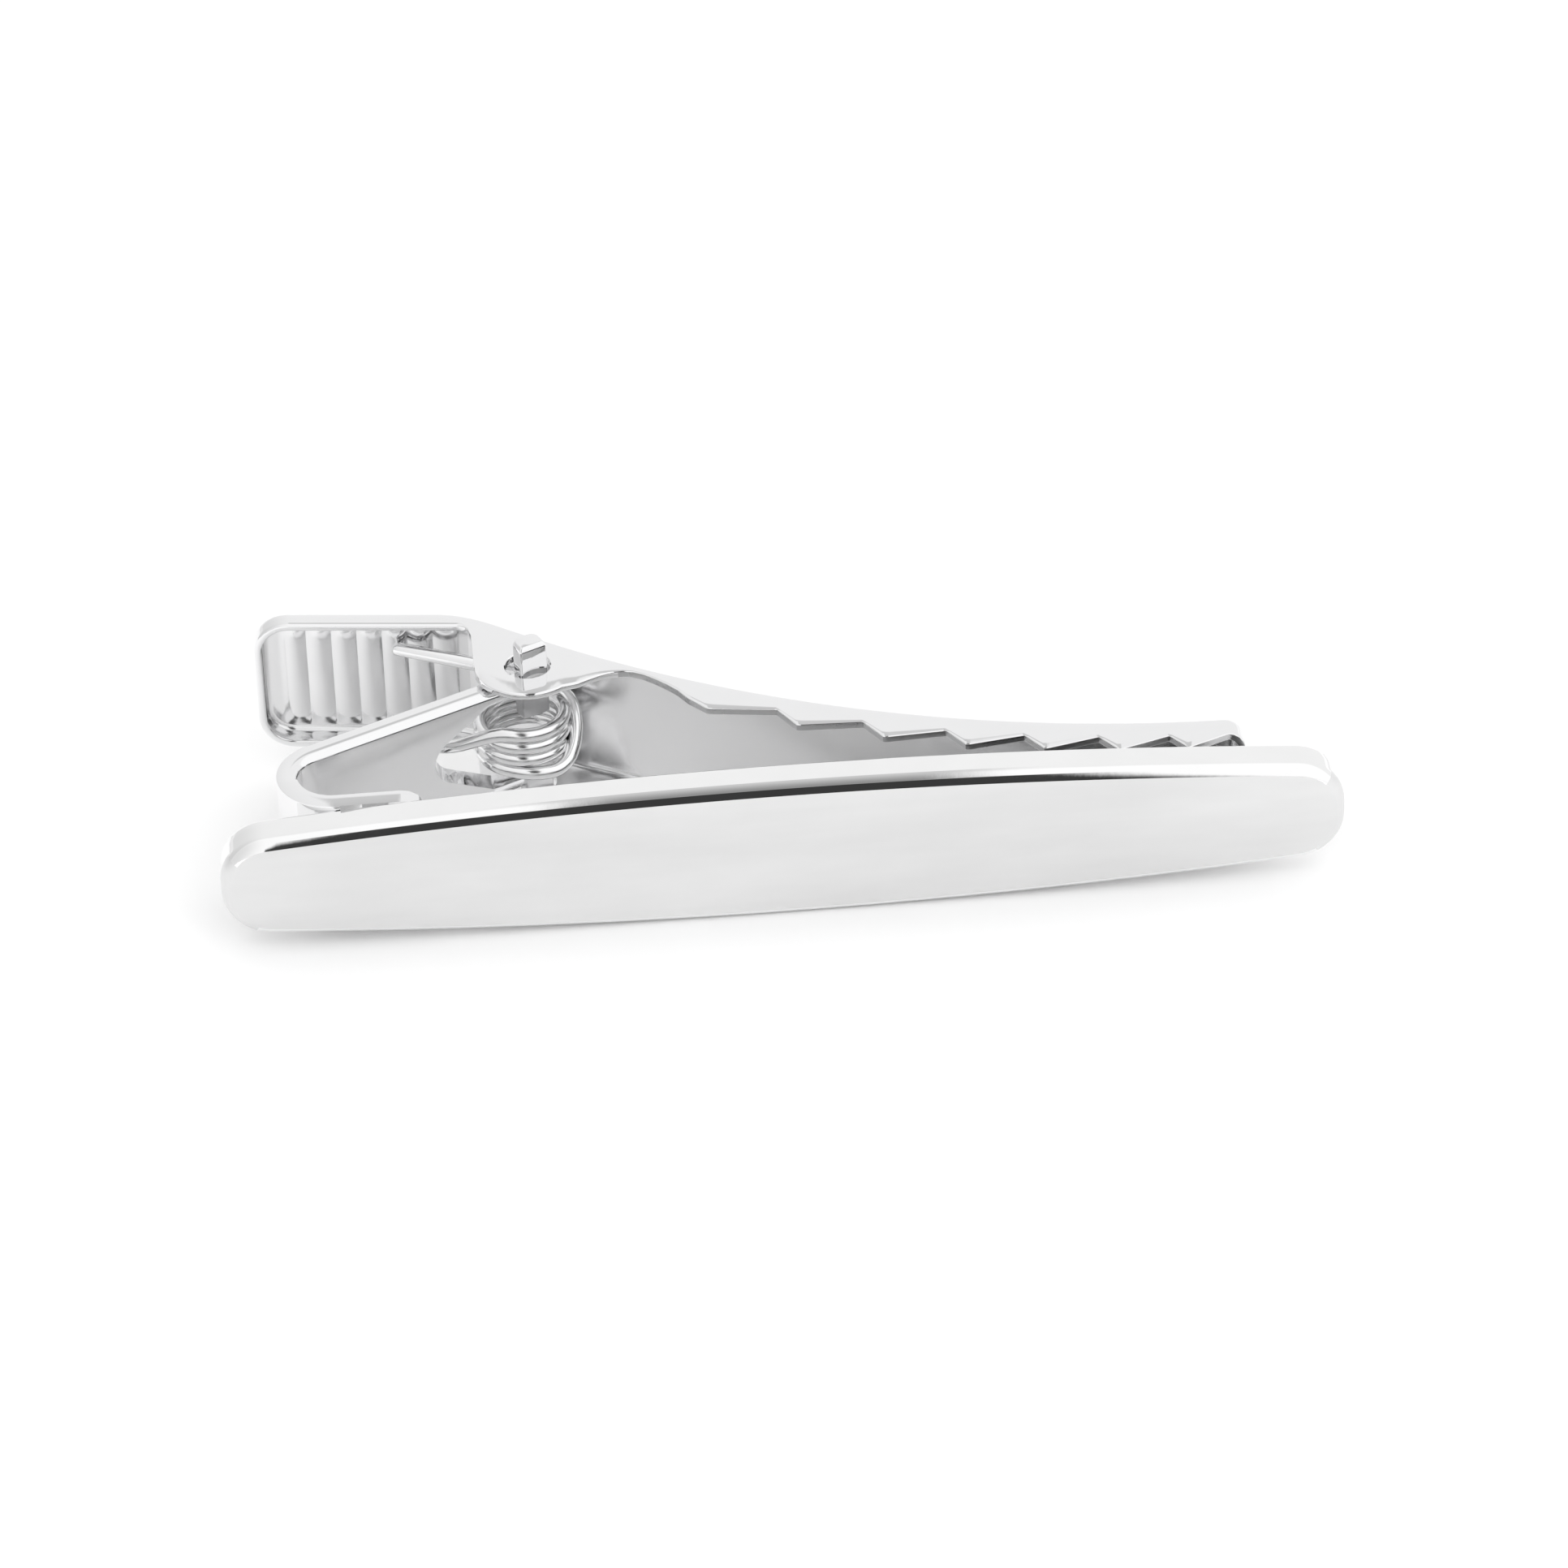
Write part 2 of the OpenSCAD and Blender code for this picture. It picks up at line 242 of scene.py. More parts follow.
def finish_piece(obj, body, node):
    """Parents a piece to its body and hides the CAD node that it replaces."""
    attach(obj, body)
    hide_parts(node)


class Grid:
    """Collects vertices, faces and each face's material."""

    def __init__(self):
        self.verts = []
        self.faces = []
        self.mats = []

    def add(self, points):
        start = len(self.verts)
        self.verts.extend(points)
        return list(range(start, len(self.verts)))

    def band(self, a, b, mat=0):
        """Quads between two closed rings. mat is an index or a function of the first corner."""
        n = len(a)
        for i in range(n):
            j = (i + 1) % n
            self.faces.append((a[i], a[j], b[j], b[i]))
            self.mats.append(mat(*self.verts[a[i]]) if callable(mat) else mat)

    def bands(self, rings, mat=0):
        for a, b in zip(rings, rings[1:]):
            self.band(a, b, mat)

    def face(self, loop, mat=0):
        self.faces.append(tuple(loop))
        self.mats.append(mat)

    def tube(self, rings):
        """Bands through the rings, closed at both ends."""
        self.bands(rings)
        self.face(rings[0])
        self.face(rings[-1])


def ring_from_upper(upper, rows):
    """A closed plan loop: the upper edge from right to left, the left end down, the lower edge and
    the right end up. upper holds (x, z) with z >= 0. Each end gets rows - 1 points between corners.
    """
    left, right = upper[-1], upper[0]
    loop = list(upper)
    loop += [(left[0], left[1] * (1 - 2 * k / rows)) for k in range(1, rows)]
    loop += [(x, -z) for x, z in reversed(upper)]
    loop += [(right[0], right[1] * (2 * k / rows - 1)) for k in range(1, rows)]
    return loop


def cap_grid(grid, ring, rows, height, mat=0):
    """Fills a ring_from_upper ring with columns that run across it. height(x, z) gives y."""
    n = len(ring) // 2 - rows + 1
    upper = ring[:n]
    lower = list(reversed(ring[n + rows - 1 : 2 * n + rows - 1]))
    columns = []
    for i in range(n):
        a, b = upper[i], lower[i]
        pa, pb = grid.verts[a], grid.verts[b]
        if i == 0:
            inner = list(reversed(ring[2 * n + rows - 1 :]))
        elif i == n - 1:
            inner = ring[n : n + rows - 1]
        else:
            points = []
            for k in range(1, rows):
                u = k / rows
                x = pa[0] + (pb[0] - pa[0]) * u
                z = pa[2] + (pb[2] - pa[2]) * u
                points.append((x, height(x, z), z))
            inner = grid.add(points)
        columns.append([a] + inner + [b])
    for near, far in zip(columns, columns[1:]):
        for k in range(rows):
            grid.face((near[k], far[k], far[k + 1], near[k + 1]), mat)


# ---------------------------------------------------------------- materials

WAVY, FLAT = 0.00002, 0.00001  # depth of the plate's broad waves, in metres


def node_tree(name):
    mat = bpy.data.materials.new(name)
    mat.use_nodes = True
    nt = mat.node_tree
    bsdf = nt.nodes["Principled BSDF"]
    return mat, nt, bsdf


def noise(nt, scale, stretch=(1, 1, 1), detail=4.0, rough=0.55):
    coord = nt.nodes.new("ShaderNodeTexCoord")
    mapping = nt.nodes.new("ShaderNodeMapping")
    mapping.inputs["Scale"].default_value = stretch
    tex = nt.nodes.new("ShaderNodeTexNoise")
    tex.inputs["Scale"].default_value = scale
    tex.inputs["Detail"].default_value = detail
    tex.inputs["Roughness"].default_value = rough
    nt.links.new(coord.outputs["Object"], mapping.inputs["Vector"])
    nt.links.new(mapping.outputs["Vector"], tex.inputs["Vector"])
    return tex.outputs["Fac"]


def ramp(nt, value, low, high, a=0.3, b=0.7):
    node = nt.nodes.new("ShaderNodeMapRange")
    node.inputs["From Min"].default_value = a
    node.inputs["From Max"].default_value = b
    node.inputs["To Min"].default_value = low
    node.inputs["To Max"].default_value = high
    nt.links.new(value, node.inputs["Value"])
    return node.outputs["Result"]


def colour_between(nt, value, dark, light):
    node = nt.nodes.new("ShaderNodeMix")
    node.data_type = "RGBA"
    node.inputs["A"].default_value = (*dark, 1)
    node.inputs["B"].default_value = (*light, 1)
    nt.links.new(value, node.inputs["Factor"])
    return node.outputs["Result"]


def bump(nt, height, strength, distance, normal=None):
    node = nt.nodes.new("ShaderNodeBump")
    node.inputs["Strength"].default_value = strength
    node.inputs["Distance"].default_value = distance
    nt.links.new(height, node.inputs["Height"])
    if normal:
        nt.links.new(normal, node.inputs["Normal"])
    return node.outputs["Normal"]


def metal(name):
    mat, nt, bsdf = node_tree(name)
    bsdf.inputs["Metallic"].default_value = 1.0
    bsdf.inputs["IOR"].default_value = 2.2
    return mat, nt, bsdf


def polished(name, light, dark, rough=(0.03, 0.08), wave=WAVY):
    """Bright plate over stamped metal: faint waviness, faint patches of haze."""
    mat, nt, bsdf = metal(name)
    haze = noise(nt, 420, detail=5)
    nt.links.new(colour_between(nt, haze, dark, light), bsdf.inputs["Base Color"])
    nt.links.new(ramp(nt, haze, rough[0], rough[1]), bsdf.inputs["Roughness"])
    broad = bump(nt, noise(nt, 260, detail=2, rough=0.4), 0.35, wave)
    fine = bump(nt, noise(nt, 2600, detail=3), 0.12, 0.000004, broad)
    nt.links.new(fine, bsdf.inputs["Normal"])
    return mat


def satin(name, light, dark):
    """Lengthwise brushed face: long fine lines, slight pits."""
    mat, nt, bsdf = metal(name)
    lines = noise(nt, 1500, stretch=(0.03, 1, 1), detail=6, rough=0.65)
    patches = ramp(nt, noise(nt, 170, stretch=(0.25, 1, 1), detail=4), 0.0, 1.0, 0.35, 0.7)
    nt.links.new(colour_between(nt, patches, dark, light), bsdf.inputs["Base Color"])
    nt.links.new(ramp(nt, lines, 0.34, 0.46), bsdf.inputs["Roughness"])
    brushed = bump(nt, lines, 0.35, 0.000006)
    pits = ramp(nt, noise(nt, 900, detail=1), 0.0, 1.0, 0.28, 0.34)
    nt.links.new(bump(nt, pits, 0.1, 0.000004, brushed), bsdf.inputs["Normal"])
    return mat


def grey(value, blue=0.005):
    """A metal's grey, by default with a trace of blue."""
    return value, value, value + blue


plate = polished("bright_plate", grey(0.88), grey(0.84))
# brighter copy for inner faces: painted light lifting the shade inside the folds; its higher
# roughness is the real finish
plate_inner_painted_light = polished("bright_plate_inner_painted_light", grey(0.95), grey(0.9), (0.16, 0.24), FLAT)
# darker copy for the web's outer face: painted shade dimming its reflection of the bright floor;
# its higher roughness is the real finish
plate_web_painted_shade = polished("bright_plate_web_painted_shade", grey(0.8), grey(0.73), (0.1, 0.18))
plate_dull = polished("bright_plate_dull", grey(0.92), grey(0.86), (0.34, 0.44), FLAT)
# darker copy for the tab's inner faces: painted shade for the shadowed inside of the tab
plate_tab_painted_shade = polished("bright_plate_tab_painted_shade", grey(0.86), grey(0.76), (0.12, 0.2), FLAT)
bar_polish = polished("bar_polish", grey(0.93, 0), grey(0.87, 0), (0.02, 0.05), FLAT)
bar_satin = satin("bar_satin", grey(0.82, 0), grey(0.72, 0))
wire_metal = polished("spring_wire", grey(0.93), grey(0.88), (0.12, 0.2))
solder_metal = polished("solder", grey(0.86), grey(0.8), (0.08, 0.16))
cut_edge = polished("cut_edge", grey(0.68), grey(0.55), (0.22, 0.4))

# ---------------------------------------------------------------- front bar


def bar_upper(margin, corner_steps=14, long_steps=90):
    """The bar's upper outline, inset by margin: (x, z) from right to left."""
    corner_x = BAR_HALF - BAR_CORNER
    arm = BAR_ARC - BAR_CORNER
    drop = BAR_ARC - BAR_TOP
    corner_z = math.sqrt(arm**2 - corner_x**2) - drop
    lean = math.asin(corner_x / arm)
    r = BAR_CORNER - margin
    points = []
    for i in range(corner_steps + 1):
        a = (math.pi / 2 - lean) * i / corner_steps
        points.append((corner_x + r * math.cos(a), corner_z + r * math.sin(a)))
    for i in range(1, long_steps):
        a = lean * (1 - 2 * i / long_steps)
        points.append(((BAR_ARC - margin) * math.sin(a), (BAR_ARC - margin) * math.cos(a) - drop))
    for i in range(corner_steps, -1, -1):
        a = (math.pi / 2 - lean) * i / corner_steps
        points.append((-corner_x - r * math.cos(a), corner_z + r * math.sin(a)))
    return points


def bar_edge(x):
    """z of the long upper edge."""
    return BAR_TOP - BAR_ARC + math.sqrt(max(0.0, BAR_ARC**2 - x * x))


def build_front_bar(rows=14, bevel_steps=14):
    grid = Grid()
    polish, brushed = range(2)

    def front(x, z):
        """y of the satin face, which falls away slightly at its edges."""
        half = bar_edge(x) - BEVEL
        near_end = max(0.0, (abs(x) - BAR_HALF + BEVEL) / CROWN_END + 1)
        return CROWN * min(1.0, abs(z / half) ** 3 + near_end**3)

    # (inset, y) from the back to the satin face
    profile = [(inset, BAR_THICK - depth) for inset, depth in BACK_EDGE]
    turn_y = CROWN + BEVEL_R * math.cos(BEVEL_START)
    profile += [(0, y) for y in (*SIDE_RINGS, turn_y + 0.1)]
    bevel_from = len(profile) - 1
    for k in range(bevel_steps + 1):
        a = math.pi / 2 - (math.pi / 2 - BEVEL_START) * k / bevel_steps
        profile.append((BEVEL_R * (1 - math.sin(a)), turn_y - BEVEL_R * math.cos(a)))
    rings = []
    for margin, y in profile:
        loop = ring_from_upper(bar_upper(margin), rows)
        rings.append(grid.add([(x, y, z) for x, z in loop]))

    # the ends' bevel is brushed with the face; along the sides it is polished
    def bevel_mat(x, y, z):
        out_x = abs(x) - BAR_HALF + BAR_CORNER
        out_z = max(0.0, abs(z) - BAR_END + BAR_CORNER)
        spread = 1.0 if z > 0 else 0.4
        return brushed if out_x > 0 and out_x > spread * out_z else polish

    grid.bands(rings[: bevel_from + 1], polish)
    grid.bands(rings[bevel_from:], bevel_mat)
    cap_grid(grid, rings[0], rows, lambda x, z: BAR_THICK, polish)
    cap_grid(grid, rings[-1], rows, front, brushed)
    obj = make_object("front_bar_body", grid, [bar_polish, bar_satin])
    # crisp line between the satin face and the polished bevel
    bm = bmesh.new()
    bm.from_mesh(obj.data)
    for e in bm.edges:
        if len({f.material_index for f in e.link_faces}) == 2:
            e.smooth = False
    bm.to_mesh(obj.data)
    bm.free()
    return obj


finish_piece(build_front_bar(), BAR, "front_bar")

# ---------------------------------------------------------------- jaw lever


def tab_y(x):
    return TAB_REF[1] - TAB_SLOPE * (x - TAB_REF[0])


def arc_y(x):
    return WEB_Y - math.sqrt(WEB_R**2 - (x - WEB_X) ** 2)


def web_y(x):
    """Height of the web's outer face, with a soft knee."""
    low, high = tab_y(x), arc_y(x)
    h = max(0.0, KNEE - abs(low - high)) / KNEE
    return min(low, high) - h * h * KNEE * 0.25


def half_at(x):
    """Half width of the lever."""
    taper = max(0.0, x - TAPER_FROM) / (NOSE_X - TAPER_FROM)
    return JAW_HALF - (JAW_HALF - NOSE_HALF) * taper


def flange_profile():
    """Points of the flange's edge from the tab to the nose: (x, y)."""
    pts = [(x, tab_y(x) - TAB_FLANGE) for x in (TAB_END - 1, -20, -17, -14.6, EAR_LEFT - 0.55)]
    # down the ear's left side, in a soft corner
    for x, drop in ((EAR_LEFT - 0.3, 0.07), (EAR_LEFT - 0.12, 0.35), (EAR_LEFT, 0.9)):
        pts.append((x, tab_y(EAR_LEFT) - TAB_FLANGE - drop))
    pts.append((EAR_LEFT + 0.005, PIVOT_Y + 0.3))
    # round the ear
    for deg in range(190, 316, 7):
        a = math.radians(deg)
        x = PIVOT_X + (EAR_R + 0.1 * max(0, -math.cos(a))) * math.cos(a)
        if x > EAR_LEFT + 0.02:
            pts.append((x, PIVOT_Y + EAR_R * math.sin(a)))
    pts += SCALLOP
    for k in range(TOOTH_COUNT):
        x = TOOTH_FIRST + TOOTH_PITCH * k - TOOTH_CLOSING * k * k
        back, root = (FIRST_BACK, FIRST_ROOT) if k == 0 else (TOOTH_BACK, TOOTH_ROOT)
        pts.append((x - back, arc_y(x - back) - root))
        pts.append((x, arc_y(x) - TOOTH_TIP))
        if k < TOOTH_COUNT - 1:
            pts.append((x + TIP_FLAT, arc_y(x + TIP_FLAT) - TIP_END))
    pts.append((20.15, arc_y(20.15) - 1.5))
    pts.append((NOSE_X + 1, arc_y(NOSE_X) - 1.75))
    return pts


FLANGE = flange_profile()
FLANGE_X = [x for x, y in FLANGE]


def flange_y(x):
    i = min(max(1, bisect.bisect_right(FLANGE_X, x)), len(FLANGE) - 1)
    (x0, y0), (x1, y1) = FLANGE[i - 1], FLANGE[i]
    return y0 + (y1 - y0) * (x - x0) / (x1 - x0)


def lip(x):
    """Radius of the flange's edge: tumbled round on the tab and the ears, sharper on the teeth."""
    return LIP - LIP_CUT * smooth((x - SHEARED_FROM + LIP_FADE) / LIP_FADE)


def side_stations():
    """x of the columns between the corner arcs, nose to tab, with one at each flange corner."""
    lo, hi = TAB_END + TAB_CORNER, NOSE_X - NOSE_CORNER
    xs = [x for x in FLANGE_X if lo < x < hi]
    x = lo
    while x < hi:
        step, gap = (RIB_PITCH / 16, 0.03) if x < RIB_END + 0.2 else (0.144, 0.09)
        if min(abs(x - v) for v in xs) > gap:
            xs.append(x)
        x += step
    return sorted(xs, reverse=True)


STATIONS = side_stations()


def jaw_upper(margin, corner_steps=8):
    """The jaw's plan, inset by margin(x)."""
    points = []
    inset = margin(NOSE_X)
    r = max(0.02, NOSE_CORNER - inset)
    cx, cz = NOSE_X - inset - r, half_at(NOSE_X - NOSE_CORNER) - inset - r
    for i in range(corner_steps + 1):
        a = math.pi / 2 * i / corner_steps
        points.append((cx + r * math.cos(a), cz + r * math.sin(a)))
    points += [(x, half_at(x) - margin(x)) for x in STATIONS]
    inset = margin(TAB_END)
    r = max(0.02, TAB_CORNER - inset)
    cx, cz = TAB_END + inset + r, JAW_HALF - inset - r
    for i in range(corner_steps + 1):
        a = math.pi / 2 * (1 - i / corner_steps)
        points.append((cx - r * math.cos(a), cz + r * math.sin(a)))
    return points


def rib(x, z):
    """How far the tab's pressed ribs move the web; below zero is towards the bar."""
    if x < RIB_START or x > RIB_END:
        return 0.0
    fade = smooth((RIB_HALF - abs(z)) / RIB_FADE)
    across = 2 * ((x - RIB_START) / RIB_PITCH % 1.0) - 1
    return -RIB_RISE * (1 - across * across) * fade


def build_jaw(rows=22, walls=4):
    grid = Grid()
    # inside faces take the brighter inner plate: painted light
    outside, sheared, inside, tab_inside_painted_shade, web = range(5)
    edge_turns = [math.radians(deg) for deg in (30, 60, 90)]

    def outer(x, z):
        return web_y(x)

    def inner(x, z):
        slope = (web_y(x + 0.05) - web_y(x - 0.05)) / 0.1
        return web_y(x) - JAW_SHEET * math.sqrt(1 + slope**2)

    def edge_y(x):
        return flange_y(min(max(x, TAB_END + 0.02), NOSE_X - 0.02))

    def loop_at(margin, height):
        """A ring at height(x, z), inset by a number or by margin(x)."""
        inset = margin if callable(margin) else lambda x: margin
        loop = ring_from_upper(jaw_upper(inset), rows)
        return grid.add([(x, height(x, z), z) for x, z in loop])

    def bend_rings(base, radius, shift, steps=7):
        """Rings of a bend from the wall to the web."""
        out = []
        for k in range(steps + 1):
            a = math.pi / 2 * k / steps
            margin = shift + radius * (1 - math.cos(a))
            drop = radius * (1 - math.sin(a))
            out.append(loop_at(margin, lambda x, z, d=drop: base(x, z) - d))
        return out

    def wall_ring(margin, base, bend, share):
        """A ring on a wall; share runs from 0 at the bend to 1 at the flange's edge."""

        def height(x, z):
            y0 = base(x, z) - bend
            y1 = min(y0 - 0.02, edge_y(x) + lip(x))
            return y0 + (y1 - y0) * share

        return loop_at(margin, height)

    def rim_ring(turn, from_inside):
        """A ring on the flange's rounded edge, this far round from the wall to the tip."""
        share = math.sin(turn)

        def margin(x):
            inset = lip(x) * (1 - math.cos(turn))
            return JAW_SHEET - inset if from_inside else inset

        def height(x, z):
            lowest = web_y(x) - JAW_BEND - 0.03 - 0.02 * share
            return min(lowest, edge_y(x) + lip(x) * (1 - share))

        return loop_at(margin, height)

    # the outer skin: web, bend, walls and the outer half of the rounded edge
    bend = bend_rings(outer, JAW_BEND, 0.0)
    # the web's outer face takes the darker web plate: painted shade
    cap_grid(grid, bend[-1], rows, lambda x, z: outer(x, z) + rib(x, z), web)
    grid.bands(bend, outside)
    skin = [bend[0]]
    skin += [wall_ring(0.0, outer, JAW_BEND, k / walls) for k in range(1, walls + 1)]
    skin += [rim_ring(a, False) for a in edge_turns]
    # the inner skin, back up to the web
    lining = [rim_ring(a, True) for a in reversed(edge_turns)]
    lining += [wall_ring(JAW_SHEET, inner, INSIDE_BEND, k / walls) for k in range(walls, -1, -1)]
    grid.bands(skin, outside)
    grid.band(skin[-1], lining[0], lambda x, y, z: sheared if x > SHEARED_FROM else outside)
    grid.bands(lining, inside)
    bend = bend_rings(inner, INSIDE_BEND, JAW_SHEET)
    grid.bands([lining[-1], *bend], inside)
    cap_grid(grid, bend[-1], rows, lambda x, z: inner(x, z) + rib(x, z), inside)
    # inner faces on the tab take the darker tab plate: painted shade
    for k, face in enumerate(grid.faces):
        if grid.mats[k] == inside and grid.verts[face[0]][0] < EAR_LEFT:
            grid.mats[k] = tab_inside_painted_shade
    mats = [plate, cut_edge, plate_inner_painted_light, plate_tab_painted_shade, plate_web_painted_shade]
    return make_object("jaw_lever_body", grid, mats, sharp=38)


def lathe_cutter(name, profile, x, y, sides=72):
    """A closed turned cutter along Z: profile holds (radius, z)."""
    grid = Grid()
    turns = [2 * math.pi * k / sides for k in range(sides)]
    rings = []
    for r, z in profile:
        rings.append(grid.add([(x + r * math.cos(a), y + r * math.sin(a), z) for a in turns]))
    grid.tube(rings)
    return make_object(name, grid, [plate])


def cut(obj, cutter):
    mod = obj.modifiers.new("cut", "BOOLEAN")
    mod.operation = "DIFFERENCE"
    mod.solver = "EXACT"
    mod.object = cutter
    bpy.context.view_layer.update()
    deps = bpy.context.evaluated_depsgraph_get()
    mesh = bpy.data.meshes.new_from_object(obj.evaluated_get(deps))
    obj.modifiers.clear()
    old = obj.data
    obj.data = mesh
    bpy.data.meshes.remove(old)
    bpy.data.objects.remove(cutter)
    bm = bmesh.new()
    bm.from_mesh(mesh)
    shade_smooth(bm, 32)
    bm.to_mesh(mesh)
    bm.free()


def ear_holes():
    """One cutter through both ears, with a small chamfer at each outside face."""
    far = [(HOLE_R, JAW_HALF - 0.05)]
    far += [(HOLE_R + HOLE_RIM, JAW_HALF + 0.005), (HOLE_R + HOLE_RIM + 0.3, 4.0)]
    near = [(r, -z) for r, z in reversed(far)]
    return lathe_cutter("hole", near + far, PIVOT_X, PIVOT_Y)


jaw = build_jaw()
cut(jaw, ear_holes())
finish_piece(jaw, JAW, "jaw_lever")

# ---------------------------------------------------------------- bracket


def strip_path():
    """Middle of the strip, foot end first: (x, y, normal x, normal y), the normal outwards."""
    mid = BEND_R + SHEET / 2
    out = [(FOOT_END - x, BEND_Y - mid, 0.0, -1.0) for x in FOOT_RINGS]
    for i in range(BEND_STEPS + 1):
        a = math.radians(270) - (math.pi - ARM_ANGLE) * i / BEND_STEPS
        nx, ny = math.cos(a), math.sin(a)
        out.append((BEND_X + mid * nx, BEND_Y + mid * ny, nx, ny))
    nx, ny = -math.sin(ARM_ANGLE), math.cos(ARM_ANGLE)
    sx, sy = BEND_X + nx * mid, BEND_Y + ny * mid
    for i in range(1, ARM_STEPS + 1):
        s = ARM_LONG * i / ARM_STEPS
        out.append((sx + math.cos(ARM_ANGLE) * s, sy + math.sin(ARM_ANGLE) * s, nx, ny))
    return out


def strip_section(w, coin):
    """Half a section with its edge at z = w: (offset, z), the offset outwards through the sheet."""
    half = SHEET / 2
    e = EDGE
    if coin < 0.02:
        side = [(-half, w - e), (-half + e * 0.3, w - e * 0.3)]
        side += [(-half + e + more, w) for more in (0.0, 0.05, 0.1)]
    else:
        c = max(0.05, coin)
        side = [(-half, w - c - 0.02), (-half + c * 0.18, w - c * 0.55)]
        side += [(-half + c * 0.62, w - c * 0.16), (-half + c + 0.02, w - 0.012)]
        side.append((-half + c + 0.07, w))
    return side + [(half - e, w), (half - e * 0.3, w - e * 0.3), (half, w - e)]


def build_strip():
    grid = Grid()
    # inner marks the strip's inside faces, which take the brighter inner plate: painted light
    bright, inner = range(2)
    half = SHEET / 2
    foot_steps = len(FOOT_RINGS)
    rings = []
    for i, (x, y, nx, ny) in enumerate(strip_path()):
        bent = (i - foot_steps) / BEND_STEPS
        coin = COIN * smooth((bent - COIN_FROM) / 0.03)
        w = BRACKET_HALF
        corner = x - (FOOT_END - FOOT_CORNER)
        if i < foot_steps and corner > 0:
            w = BRACKET_HALF - FOOT_CORNER + math.sqrt(max(0.0, FOOT_CORNER**2 - corner**2))
        side = strip_section(w, coin)
        flat = (w - max(coin, EDGE)) * 0.5
        section = [(-half, -flat), (-half, 0.0), (-half, flat)]
        section += side
        flat = (w - EDGE) * 0.5
        section += [(half, flat), (half, 0.0), (half, -flat)]
        section += [(o, -z) for o, z in reversed(side)]
        rings.append(grid.add([(x + nx * o, y + ny * o, z) for o, z in section]))
    for a, b in zip(rings, rings[1:]):
        start = len(grid.mats)
        grid.band(a, b, bright)
        for k in (0, 1, 2, len(a) - 1):
            grid.mats[start + k] = inner
    grid.face(rings[0])
    grid.face(rings[-1])
    return make_object("bracket_body", grid, [plate, plate_inner_painted_light], sharp=34)


def window_cutter():
    """The window and the slot between the prongs, as an upright prism along Y."""
    mouth = BRACKET_HALF - PRONG
    # tangent from the apex circle to the mouth's corner
    cx = WINDOW_APEX + WINDOW_R
    d = math.hypot(PRONG_FROM - cx, mouth)
    ang = math.atan2(mouth, PRONG_FROM - cx) + math.acos(WINDOW_R / d)
    outline = []
    for k in range(25):
        a = ang + (2 * math.pi - 2 * ang) * k / 24
        outline.append((cx + WINDOW_R * math.cos(a), WINDOW_R * math.sin(a)))
    upper = [(PRONG_FROM + 0.15, mouth - 0.03), (PRONG_FROM + 0.4, mouth), (PRONG_TO, mouth)]
    outline += [(x, -z) for x, z in upper]
    outline += reversed(upper)
    grid = Grid()
    grid.tube([grid.add([(x, y, z) for x, z in outline]) for y in (BEND_Y + 1.5, 16.0)])
    return make_object("window", grid, [plate])


def trunnion(name, side):
    """A stub and lug: flat front and sides, rounded back, softened end. side is 1 or -1."""
    grid = Grid()
    bright, dull = range(2)
    half, front, back = TRUNNION_HALF, -TRUNNION_HALF, TRUNNION_BACK
    # u runs along the arm, v through the sheet towards the back, whose corners are rounded over
    outline = []
    for cu, cv, r, start in (
        (half - 0.1, front + 0.1, 0.1, -90),
        (half - 0.42, back - 0.42, 0.42, 0),
        (-half + 0.42, back - 0.42, 0.42, 90),
        (-half + 0.1, front + 0.1, 0.1, 180),
    ):
        for k in range(9):
            a = math.radians(start + 90 * k / 8)
            outline.append((cu + r * math.cos(a), cv + r * math.sin(a)))
    ca, sa = math.cos(ARM_ANGLE), math.sin(ARM_ANGLE)
    end = bracket_high[2]
    # (scale, z): the stub's inner end, the part in the ear, the lug's outer end
    sections = [(0.86, STUB_INNER), (0.95, STUB_INNER + 0.05), (1.0, STUB_INNER + 0.14)]
    sections.append((1.0, JAW_HALF - 0.2))
    sections += [(1.0, end - 0.26), (0.98, end - 0.17), (0.9, end - 0.06)]
    sections += [(0.83, end - 0.012), (0.76, end)]
    rings = []
    for scale, z in sections:
        ring = []
        for u, v in outline:
            u, v = u * scale, v * scale
            ring.append((PIVOT_X + u * ca - v * sa, PIVOT_Y + u * sa + v * ca, z * side))
        rings.append(grid.add(ring))
    grid.bands(rings[:4], dull)
    grid.bands(rings[3:], bright)
    grid.face(rings[0], dull)
    grid.face(rings[-1], bright)
    return make_object(name, grid, [plate, plate_dull], sharp=34)


strip = build_strip()
cut(strip, window_cutter())
finish_piece(strip, BAR, "bracket")
finish_piece(trunnion("trunnion_upper", 1), BAR, "bracket")
finish_piece(trunnion("trunnion_lower", -1), BAR, "bracket")

# ---------------------------------------------------------------- solder


def build_solder():
    """A thin fillet round the foot."""
    grid = Grid()
    rings = []
    for grow, y in FILLET:
        r = FOOT_CORNER + grow
        end, half = FOOT_END + grow, BRACKET_HALF + grow
        left = BEND_X + 0.2 + 5 * y
        loop = [(left, half), (left + 1, half), (left + 2, half)]
        for k in range(9):
            a = math.pi / 2 * (1 - k / 8)
            loop.append((end - r + r * math.cos(a), half - r + r * math.sin(a)))
        loop += [(x, -z) for x, z in reversed(loop)]
        rings.append(grid.add([(x, BAR_THICK + y, z) for x, z in loop]))
    grid.tube(rings)
    return make_object("solder_fillet", grid, [solder_metal])


finish_piece(build_solder(), BAR, "solder_seam")

# ---------------------------------------------------------------- torsion spring


